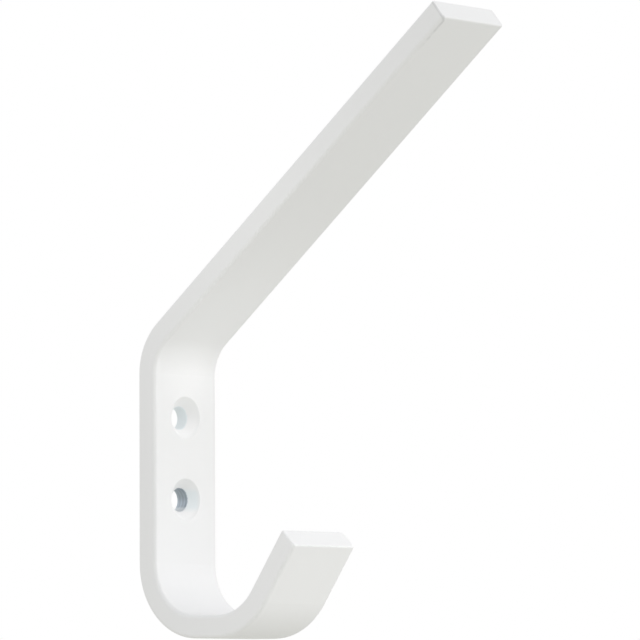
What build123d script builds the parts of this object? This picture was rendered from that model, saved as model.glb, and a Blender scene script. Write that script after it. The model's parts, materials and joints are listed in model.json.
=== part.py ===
from build123d import *
import os
from math import cos, radians, sin

# A one-piece hat and coat hook: a flat metal bar, bent at the top into a long slanting arm and at the foot
# into a short J, with two countersunk screw holes through the upright plate between them. Millimetres, +Z up.
# The wall is the plane Y = 0 and the hook reaches out towards -Y. The origin is on the wall, midway between
# the two screw holes.

# The flat bar
bar_width = 20.0
bar_thickness = 5.0
long_edge_radius = 0.8
end_edge_radius = 0.4

# The bent line through the middle of the bar: lengths run from corner to corner, or from a corner to the
# bar's end, and slopes are in degrees above level
arm_length = 107.0
arm_slope = 38.7
plate_length = 61.0
foot_length = 28.0
tip_length = 22.75
tip_slope = 55.0

# How far the tip's end leans out of square, in degrees, as bending so near the end leaves it
tip_end_lean = 8.0

# Inside radii of the three bends
arm_bend_radius = 9.0
foot_bend_radius = 11.5
tip_bend_radius = 12.0

# The screw holes
hole_spacing = 18.0
holes_below_arm_corner = 23.9
bore_diameter = 5.0
countersink_diameter = 9.2
countersink_angle = 90.0
hole_rim_radius = 0.25

# The bar runs on past the tip's end by this much before the end is cut
tip_waste = bar_thickness


def heading(slope):
    """One millimetre outward from the wall, at a slope in degrees above level."""
    return Vector(0, -cos(radians(slope)), sin(radians(slope)))


arm_corner = Vector(0, -bar_thickness / 2, holes_below_arm_corner)
arm_end = arm_corner + heading(arm_slope) * arm_length
foot_corner = arm_corner + heading(-90) * plate_length
tip_corner = foot_corner + heading(0) * foot_length
tip_end = tip_corner + heading(tip_slope) * tip_length
bar_end = tip_end + heading(tip_slope) * tip_waste
inside_radii = (arm_bend_radius, foot_bend_radius, tip_bend_radius)
bend_radii = [radius + bar_thickness / 2 for radius in inside_radii]

with BuildPart() as hook:
    # The bar: its rounded section swept along the bent line
    with BuildLine() as bent_line:
        FilletPolyline(arm_end, arm_corner, foot_corner, tip_corner, bar_end, radius=bend_radii)
    with BuildSketch(Plane(origin=arm_end, x_dir=(1, 0, 0), z_dir=bent_line.line % 0)):
        RectangleRounded(bar_width, bar_thickness, long_edge_radius)
    sweep(path=bent_line.line)

    # The cut that ends the tip
    with Locations(Plane(origin=tip_end, x_dir=(1, 0, 0), z_dir=heading(tip_slope - tip_end_lean))):
        Box(
            bar_width + 2 * tip_waste,
            bar_thickness + 2 * tip_waste,
            2 * tip_waste,
            align=(Align.CENTER, Align.CENTER, Align.MIN),
            mode=Mode.SUBTRACT,
        )

    # The broken edges round both ends
    for end in (arm_end, tip_end):
        fillet(hook.faces().sort_by_distance(end)[0].edges(), radius=end_edge_radius)

    # The screw holes, countersunk from the front of the plate, with soft rims
    with Locations(Plane(origin=(0, -bar_thickness, 0), x_dir=(1, 0, 0), z_dir=(0, -1, 0))):
        with GridLocations(0, hole_spacing, 1, 2):
            CounterSinkHole(
                radius=bore_diameter / 2,
                counter_sink_radius=countersink_diameter / 2,
                depth=bar_thickness,
                counter_sink_angle=countersink_angle,
            )
    fillet(hook.edges(Select.LAST).filter_by(GeomType.CIRCLE), radius=hole_rim_radius)

hook.part.label = "hook"

os.makedirs("parts", exist_ok=True)
export_step(hook.part, "parts/hook.step")
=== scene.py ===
import json
from math import cos, radians, sin

import bpy
from mathutils import Matrix, Vector


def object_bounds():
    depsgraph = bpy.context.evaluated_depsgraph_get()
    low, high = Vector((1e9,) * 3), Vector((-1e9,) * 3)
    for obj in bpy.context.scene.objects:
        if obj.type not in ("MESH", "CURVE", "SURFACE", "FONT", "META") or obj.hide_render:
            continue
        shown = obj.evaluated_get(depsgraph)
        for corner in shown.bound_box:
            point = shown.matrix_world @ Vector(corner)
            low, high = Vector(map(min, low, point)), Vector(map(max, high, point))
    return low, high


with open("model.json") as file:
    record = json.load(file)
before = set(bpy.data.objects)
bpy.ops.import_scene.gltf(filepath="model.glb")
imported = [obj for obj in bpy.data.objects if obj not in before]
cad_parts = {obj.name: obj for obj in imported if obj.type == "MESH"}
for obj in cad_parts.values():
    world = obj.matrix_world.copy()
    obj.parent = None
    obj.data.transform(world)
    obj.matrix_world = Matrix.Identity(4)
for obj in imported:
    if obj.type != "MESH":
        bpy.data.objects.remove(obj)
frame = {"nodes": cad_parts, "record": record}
cad_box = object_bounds()

MM = 0.001

# The camera: the photograph looks at the hook from its left front and a little from below, with a long lens
IMAGE_SIDE_PX = 640
FOCAL_LENGTH_PX = 5090
SENSOR_WIDTH_MM = 36
CAMERA_AZIMUTH = -48.84
CAMERA_ELEVATION = -4.43
CAMERA_ROLL = -0.26
CAMERA_DISTANCE = 1119.5 * MM
CAMERA_CLIP_START = 10 * MM
AIM_RIGHT = 33.17 * MM
AIM_UP = 30.67 * MM

# The bar and its holes, as the solid has them
BAR_WIDTH = 20 * MM
BAR_THICKNESS = 5 * MM
LONG_EDGE_RADIUS = 0.8 * MM
END_EDGE_RADIUS = 0.4 * MM
ARM_SLOPE = 38.7
screw_holes = next(m for m in frame["record"]["mounts"] if m["name"] == "screw_holes")
HOLE_RADIUS = screw_holes["dims"]["hole_r_mm"] * MM
HOLE_HEIGHT = screw_holes["dims"]["spacing_y_mm"] / 2 * MM

# The white coat, with a fine grain and a soft orange peel
COAT_COLOUR = (0.882, 0.885, 0.893)
COAT_SHADE = (0.865, 0.868, 0.876)
COAT_CLOUD_SIZE = 30 * MM
COAT_ROUGHNESS = 0.42
GRAIN_SIZE = 0.3 * MM
GRAIN_ROUGHNESS = 0.12
GRAIN_HEIGHT = 0.25
PEEL_SIZE = 1.6 * MM
PEEL_DEPTH = 0.03 * MM
PEEL_STRENGTH = 0.25

# A fade, here and below, is the place where a finish begins and the place where it is full.
# The darker colour at the arm's end: its patches, its arrises, and a line set in from each side
DARK_END_COLOUR = (0.52, 0.53, 0.54)
DARK_END_SHARE = 0.42
DARK_PATCH_SIZE = 1.5 * MM
DARK_PATCH_FADE = (0.2, 0.6)
DARK_ARRIS_FADE = (-0.75 * END_EDGE_RADIUS, -0.4 * END_EDGE_RADIUS)
DARK_LINE_INSET = 1.0 * MM
DARK_LINE_TURN = 0.7 * MM
DARK_LINE_FADE = (0.55 * MM, 0.165 * MM)
DARK_FRONT_FADE = (-LONG_EDGE_RADIUS, -0.5 * LONG_EDGE_RADIUS)
DARK_LENGTH_FADE = (-11 * MM, -3.3 * MM)
DARK_LEFT_FADE = (12 * MM, 0)

# Painted light in the holes, lightest at their bottoms, a painted bluish reflection in them, and the lower
# bore's bare metal
PAINTED_LIGHT_COLOUR = (0.96, 0.96, 0.965)
PAINTED_LIGHT_LEAST = 0.35
PAINTED_REFLECTION_COLOUR = (0.80, 0.90, 0.94)
PAINTED_CONE_REFLECTION_SHARE = 0.5
PAINTED_BORE_REFLECTION_SHARE = 0.45
METAL_COLOUR = (0.48, 0.54, 0.60)
METAL_SHADE = (0.40, 0.45, 0.50)
METAL_RING_SCALE = 350
METAL_RING_DISTORTION = 1.5
LEFT_COAT_SHARE = 0.6
RAGGED_SIZE = 0.8 * MM
RAGGED_DEPTH = 0.3 * MM

# The fades outwards from the bore's wall, and forwards from the plate's back
BORE_FADE = (0.35 * MM, 0.2 * MM)
CONE_FADE = (2.4 * MM, 1.4 * MM)
BACK_FADE = (-0.1 * MM, -0.5 * MM)

# The fades up, down and to the right of a hole's own axis
PAINTED_LIGHT_FADE = (2.5 * MM, -3 * MM)
LEFT_COAT_FADE = (-0.5 * HOLE_RADIUS, -0.75 * HOLE_RADIUS)
REFLECTION_RIGHT_FADE = (0.3 * MM, 2.2 * MM)
REFLECTION_HEIGHT_FADE = (3 * MM, 1.4 * MM)

# The change from the upper hole's finish to the lower one's, midway between them
LOWER_HOLE_FADE = (1 * MM, -1 * MM)

# The light: the world's level as it is seen and as it lights the part, and the lamps' powers in watts
BACKDROP = 1.0
AMBIENT = 0.771
KEY_POWER = 4.85
FILL_POWER = 1.52
SIDE_POWER = 0.00125
TIP_POWER = 0.00042
LOW_POWER = 0.0015
BEND_POWER = 0.00053
CROOK_POWER = 0.000024
SOFTBOX_DISTANCE = 1.5
SOFTBOX_SIDE = 1.0
SPOT_DISTANCE = 0.3

# The floor lies below the camera, so that the photograph's view passes over none of it. The camera sees it
# darker than the light it throws back would make it, so that the white part stands out in other views.
FLOOR_Z = -75 * MM
FLOOR_SIDE = 6.0
FLOOR_COLOUR = (0.81, 0.81, 0.765)
FLOOR_SEEN_COLOUR = (0.57, 0.57, 0.555)
FLOOR_SHADE = 0.97
FLOOR_CLOUD_SIZE = 0.2
FLOOR_ROUGHNESS = 0.9
FLOOR_SPECULAR = 0.1

NOISE_DETAIL = 2.0
WHITE = (1, 1, 1, 1)
part_middle = (Vector(cad_box[0]) + Vector(cad_box[1])) / 2
scene = bpy.context.scene


def direction(azimuth, elevation):
    """The way from the part to a place round it: azimuth 0 is in front, at -Y, and 90 is at +X."""
    a, e = radians(azimuth), radians(elevation)
    return Vector((sin(a) * cos(e), -cos(a) * cos(e), sin(e)))


def aim_axes(back, roll=0.0):
    """The right, up and back axes of a camera or lamp that looks along -back, as a matrix's columns."""
    right = Matrix.Rotation(radians(roll), 3, back) @ Vector((0, 0, 1)).cross(back).normalized()
    return Matrix((right, back.cross(right), back)).transposed()


def place(obj, axes, location):
    """Puts a new object into the scene, turned to the axes."""
    obj.matrix_world = Matrix.Translation(location) @ axes.to_4x4()
    scene.collection.objects.link(obj)


# Camera
camera_axes = aim_axes(direction(CAMERA_AZIMUTH, CAMERA_ELEVATION), CAMERA_ROLL)
camera = bpy.data.objects.new("camera", bpy.data.cameras.new("camera"))
camera.data.sensor_width = SENSOR_WIDTH_MM
camera.data.lens = SENSOR_WIDTH_MM * FOCAL_LENGTH_PX / IMAGE_SIDE_PX
camera.data.clip_start = CAMERA_CLIP_START
place(camera, camera_axes, camera_axes @ Vector((AIM_RIGHT, AIM_UP, CAMERA_DISTANCE)))
scene.camera = camera


# Light
def lamp(name, azimuth, elevation, distance, side, power, spread=180, target=part_middle):
    """A square soft lamp that looks at the target. A spread under 180 degrees is a grid on its front."""
    light = bpy.data.lights.new(name, "AREA")
    light.shape = "SQUARE"
    light.size = side
    light.energy = power
    light.spread = radians(spread)
    back = direction(azimuth, elevation)
    place(bpy.data.objects.new(name, light), aim_axes(back), target + back * distance)


def softbox(name, azimuth, elevation, power):
    """A large lamp that lights the whole part."""
    lamp(name, azimuth, elevation, SOFTBOX_DISTANCE, SOFTBOX_SIDE, power)


def spot(name, azimuth, elevation, side, power, spread, y, z):
    """A small gridded lamp that lifts one place of the part, at y and z in millimetres."""
    lamp(name, azimuth, elevation, SPOT_DISTANCE, side, power, spread, Vector((0, y, z)) * MM)


def studio_world():
    """White to the camera and in reflections, and an even light of the ambient level on everything else."""
    world = bpy.data.worlds.new("studio")
    world.use_nodes = True
    tree = world.node_tree
    tree.nodes.clear()
    path = tree.nodes.new("ShaderNodeLightPath")
    shown = path.outputs["Is Camera Ray"]
    for ray in ("Is Glossy Ray", "Is Transmission Ray"):
        either = tree.nodes.new("ShaderNodeMath")
        either.operation = "MAXIMUM"
        tree.links.new(shown, either.inputs[0])
        tree.links.new(path.outputs[ray], either.inputs[1])
        shown = either.outputs[0]
    choice = tree.nodes.new("ShaderNodeMixShader")
    tree.links.new(shown, choice.inputs["Fac"])
    for socket, strength in zip(choice.inputs[1:], (AMBIENT, BACKDROP)):
        background = tree.nodes.new("ShaderNodeBackground")
        background.inputs["Color"].default_value = WHITE
        background.inputs["Strength"].default_value = strength
        tree.links.new(background.outputs["Background"], socket)
    output = tree.nodes.new("ShaderNodeOutputWorld")
    tree.links.new(choice.outputs["Shader"], output.inputs["Surface"])
    return world


softbox("key", azimuth=35, elevation=25, power=KEY_POWER)
softbox("fill", azimuth=-60, elevation=10, power=FILL_POWER)
spot("side", azimuth=-90, elevation=0, side=20 * MM, power=SIDE_POWER, spread=26, y=-32, z=47.5)
spot("tip", azimuth=-50, elevation=0, side=30 * MM, power=TIP_POWER, spread=14, y=-38, z=-25)
spot("low", azimuth=50, elevation=2, side=40 * MM, power=LOW_POWER, spread=18, y=-38, z=-25)
spot("bend", azimuth=10, elevation=-17, side=40 * MM, power=BEND_POWER, spread=10, y=-8, z=26)
spot("crook", azimuth=10, elevation=-10, side=10 * MM, power=CROOK_POWER, spread=3, y=-6, z=20)
scene.world = studio_world()
scene.view_settings.view_transform = "Standard"


# Materials
class Nodes:
    """A material's node tree, with short ways to make the nodes that the finishes below use."""

    def __init__(self, name):
        self.material = bpy.data.materials.new(name)
        self.material.use_nodes = True
        self.tree = self.material.node_tree
        self.shader = self.tree.nodes["Principled BSDF"]
        self.here = self.make("ShaderNodeTexCoord", "Object", {})

    def make(self, kind, output, inputs, **settings):
        """The named output of a new node, whose inputs are values or other nodes' outputs."""
        node = self.tree.nodes.new(kind)
        for name, value in settings.items():
            setattr(node, name, value)
        for name, value in inputs.items():
            self.feed(node.inputs[name], value)
        return node.outputs[output]

    def feed(self, socket, value):
        """Sets an input to a value, or links another node's output to it."""
        if isinstance(value, bpy.types.NodeSocket):
            self.tree.links.new(value, socket)
        elif socket.type == "RGBA":
            socket.default_value = (*value, 1)
        else:
            socket.default_value = value

    def math(self, operation, *values):
        return self.make("ShaderNodeMath", 0, dict(enumerate(values)), operation=operation)

    def product(self, first, *others):
        for other in others:
            first = self.math("MULTIPLY", first, other)
        return first

    def ramp(self, value, low, high):
        """0 where value is at low or past it, 1 at high or past it, with an eased step between."""
        inputs = {"Value": value, "From Min": low, "From Max": high}
        return self.make("ShaderNodeMapRange", "Result", inputs, interpolation_type="SMOOTHSTEP")

    def noise(self, size):
        """Soft noise whose lumps are about so large, in metres."""
        inputs = {"Vector": self.here, "Scale": 1 / size, "Detail": NOISE_DETAIL}
        return self.make("ShaderNodeTexNoise", "Fac", inputs)

    def mix(self, factor, first, second):
        """A colour between two others: the first where the factor is 0, and the second where it is 1."""
        node = self.tree.nodes.new("ShaderNodeMix")
        node.data_type = "RGBA"
        sockets = {s.name: s for s in node.inputs if s.type == "RGBA" or s.identifier == "Factor_Float"}
        for name, value in {"Factor": factor, "A": first, "B": second}.items():
            self.feed(sockets[name], value)
        return next(s for s in node.outputs if s.type == "RGBA")

    def along(self, origin, axis):
        """How far a place lies from origin along an axis."""
        offset = self.make("ShaderNodeVectorMath", "Vector", {0: self.here, 1: origin}, operation="SUBTRACT")
        return self.make("ShaderNodeVectorMath", "Value", {0: offset, 1: axis}, operation="DOT_PRODUCT")


def dark_end_marks(n, x):
    """Where the colour is darkened: in patches on the side arrises of the arm's end, and in a line beside
    each front arris of the arm, which fades away from the end and is weaker on the right."""
    arm_axis = direction(0, ARM_SLOPE)
    arm_normal = direction(0, ARM_SLOPE - 90)
    end_y = cad_box[0][1] - arm_normal.y * BAR_THICKNESS / 2
    end_z = cad_box[1][2] + arm_normal.z * BAR_THICKNESS / 2
    end_middle = Vector((0, end_y, end_z))
    from_end = n.along(end_middle, arm_axis)
    from_side = n.math("SUBTRACT", n.math("ABSOLUTE", x), BAR_WIDTH / 2)
    from_front = n.math("SUBTRACT", n.along(end_middle, arm_normal), BAR_THICKNESS / 2)

    end_arris = n.ramp(n.math("MINIMUM", from_side, from_end), *DARK_ARRIS_FADE)

    # The line keeps its inset from the side, and turns out towards the corner at the very end
    turn_out = n.ramp(from_end, -DARK_LINE_INSET, 0)
    inset = n.math("MULTIPLY_ADD", turn_out, -DARK_LINE_TURN, DARK_LINE_INSET)
    off_line = n.math("ABSOLUTE", n.math("ADD", from_side, inset))
    line = n.product(
        n.ramp(off_line, *DARK_LINE_FADE),
        n.ramp(from_front, *DARK_FRONT_FADE),
        n.ramp(from_end, *DARK_LENGTH_FADE),
        n.ramp(x, *DARK_LEFT_FADE),
    )
    patchy = n.ramp(n.noise(DARK_PATCH_SIZE), *DARK_PATCH_FADE)
    return n.product(n.math("MAXIMUM", line, end_arris), patchy)


def hole_light_and_metal(n, x, y, z):
    """Painted light and a painted bluish reflection in the holes, and where the metal is bare."""
    # The height above the nearer hole's axis, and the distance outwards from the wall of its bore
    lower = n.ramp(z, *LOWER_HOLE_FADE)
    upper = n.math("SUBTRACT", 1.0, lower)
    past_axis = n.math("SUBTRACT", n.math("ABSOLUTE", z), HOLE_HEIGHT)
    height = n.product(past_axis, n.math("SUBTRACT", upper, lower))
    from_axis = n.make("ShaderNodeCombineXYZ", "Vector", {"X": x, "Z": past_axis})
    radius = n.make("ShaderNodeVectorMath", "Value", {0: from_axis}, operation="LENGTH")
    from_wall = n.math("SUBTRACT", radius, HOLE_RADIUS)

    # The lower bore is bare, but for some coat left at its bottom
    ragged = n.math("MULTIPLY_ADD", n.noise(RAGGED_SIZE), RAGGED_DEPTH, from_wall)
    in_bore = n.ramp(ragged, *BORE_FADE)
    left_coat = n.ramp(height, *LEFT_COAT_FADE)
    bare = n.product(in_bore, lower, n.math("MULTIPLY_ADD", left_coat, -LEFT_COAT_SHARE, 1.0))

    # Painted light in both holes, strongest at the bottom, and not on the plate's back
    in_hole = n.product(n.ramp(from_wall, *CONE_FADE), n.ramp(y, *BACK_FADE))
    painted_light = n.product(in_hole, n.math("MAXIMUM", n.ramp(height, *PAINTED_LIGHT_FADE), PAINTED_LIGHT_LEAST))

    # A painted bluish reflection on the right of the lower countersink, and in the upper bore
    on_right = n.product(n.ramp(x, *REFLECTION_RIGHT_FADE), n.ramp(n.math("ABSOLUTE", height), *REFLECTION_HEIGHT_FADE))
    painted_cone_reflection = n.product(in_hole, on_right, lower, PAINTED_CONE_REFLECTION_SHARE)
    painted_bore_reflection = n.product(in_bore, upper, PAINTED_BORE_REFLECTION_SHARE)
    return painted_light, n.math("MAXIMUM", painted_cone_reflection, painted_bore_reflection), bare


def bare_metal(n):
    """The metal's colour, with the drill's rings round the bore."""
    inputs = {
        "Vector": n.here,
        "Scale": METAL_RING_SCALE,
        "Distortion": METAL_RING_DISTORTION,
        "Detail": NOISE_DETAIL,
    }
    rings = n.make("ShaderNodeTexWave", "Fac", inputs, bands_direction="Y")
    return n.mix(rings, METAL_SHADE, METAL_COLOUR)


def white_coat():
    """Satin white powder coat: darkened in lines at the arm's end, with painted light and a painted bluish
    reflection in the holes, and missing from the lower hole's bore.
    """
    n = Nodes("white_coat_finish")
    x, y, z = n.make("ShaderNodeSeparateXYZ", "X", {"Vector": n.here}).node.outputs
    painted_light, painted_reflection, bare = hole_light_and_metal(n, x, y, z)
    dark_end = n.product(dark_end_marks(n, x), DARK_END_SHARE)

    tone = n.mix(n.noise(COAT_CLOUD_SIZE), COAT_SHADE, COAT_COLOUR)
    # Painted light in the holes
    tone = n.mix(painted_light, tone, PAINTED_LIGHT_COLOUR)
    # A painted bluish reflection in the holes
    tone = n.mix(painted_reflection, tone, PAINTED_REFLECTION_COLOUR)
    # Darker lines and patches at the arm's end
    tone = n.mix(dark_end, tone, DARK_END_COLOUR)
    n.feed(n.shader.inputs["Base Color"], n.mix(bare, tone, bare_metal(n)))
    n.feed(n.shader.inputs["Metallic"], bare)

    grain = n.noise(GRAIN_SIZE)
    n.feed(n.shader.inputs["Roughness"], n.math("MULTIPLY_ADD", grain, GRAIN_ROUGHNESS, COAT_ROUGHNESS))
    relief = n.math("MULTIPLY_ADD", grain, GRAIN_HEIGHT, n.noise(PEEL_SIZE))
    inputs = {"Height": relief, "Strength": PEEL_STRENGTH, "Distance": PEEL_DEPTH}
    n.feed(n.shader.inputs["Normal"], n.make("ShaderNodeBump", "Normal", inputs))
    return n.material


def pale_floor():
    """A matt pale floor, faintly clouded."""
    n = Nodes("pale_floor")
    n.shader.inputs["Roughness"].default_value = FLOOR_ROUGHNESS
    n.shader.inputs["Specular IOR Level"].default_value = FLOOR_SPECULAR
    clouds = n.noise(FLOOR_CLOUD_SIZE)
    lit, seen = (
        n.mix(clouds, tuple(FLOOR_SHADE * c for c in colour), colour)
        for colour in (FLOOR_COLOUR, FLOOR_SEEN_COLOUR)
    )
    camera_ray = n.make("ShaderNodeLightPath", "Is Camera Ray", {})
    n.feed(n.shader.inputs["Base Color"], n.mix(camera_ray, lit, seen))
    return n.material


frame["nodes"]["hook"].material_slots[0].material = white_coat()

# Floor
half = FLOOR_SIDE / 2
corners = [(-half, -half, FLOOR_Z), (half, -half, FLOOR_Z), (half, half, FLOOR_Z), (-half, half, FLOOR_Z)]
floor_mesh = bpy.data.meshes.new("floor")
floor_mesh.from_pydata(corners, [], [(0, 1, 2, 3)])
floor_mesh.materials.append(pale_floor())
floor = bpy.data.objects.new("floor", floor_mesh)
scene.collection.objects.link(floor)
